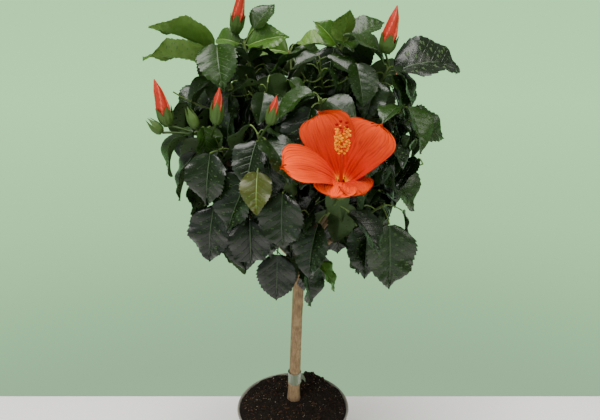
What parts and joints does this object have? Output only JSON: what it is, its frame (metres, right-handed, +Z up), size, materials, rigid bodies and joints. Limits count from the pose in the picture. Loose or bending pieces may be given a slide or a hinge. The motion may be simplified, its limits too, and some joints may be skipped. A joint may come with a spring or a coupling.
{
  "type": "hibiscus shrub in a pot",
  "caption": "Hibiscus shrub grown as a small standard: a bare stem in a plastic nursery pot, a round crown of glossy leaves, buds and an open orange flower.",
  "frame": {"origin": "middle of the pot's flat underside", "axes": "+Z up the stem, -Y towards the side the open flower faces, +X to the right seen from that side"},
  "size_m": [0.3927, 0.3728, 0.7338],
  "materials": {
    "pot": "taupe moulded polypropylene, satin",
    "soil": "dark peat and bark potting mix, rough",
    "bark": "light tan bark, fine ridges and old leaf scars",
    "tie": "clear greenish film",
    "leaves": "glossy dark green leaves",
    "bloom": "soft orange petals"
  },
  "bodies": {
    "root": {"pot": "pot", "soil": "soil", "stem": "bark", "stem_tie": "tie", "bough_back": "bark", "bough_back_left": "bark", "bough_back_low_left": "bark", "bough_back_low_right": "bark", "bough_back_right": "bark", "bough_bloom": "bark", "bough_front": "bark", "bough_left": "bark", "bough_low_front": "bark", "bough_lower_left": "bark", "bough_lower_right": "bark", "bough_right": "bark", "bough_top": "bark", "bough_top_left": "bark", "bough_upper_front": "bark", "bough_upper_left": "bark", "bough_upper_right": "bark", "bloom": "bloom", "foliage_back": "leaves", "foliage_back_left": "leaves", "foliage_back_low_left": "leaves", "foliage_back_low_right": "leaves", "foliage_back_right": "leaves", "foliage_front": "leaves", "foliage_left": "leaves", "foliage_low_front": "leaves", "foliage_lower_left": "leaves", "foliage_lower_right": "leaves", "foliage_right": "leaves", "foliage_top": "leaves", "foliage_top_left": "leaves", "foliage_upper_front": "leaves", "foliage_upper_left": "leaves", "foliage_upper_right": "leaves"}
  },
  "joints": []
}
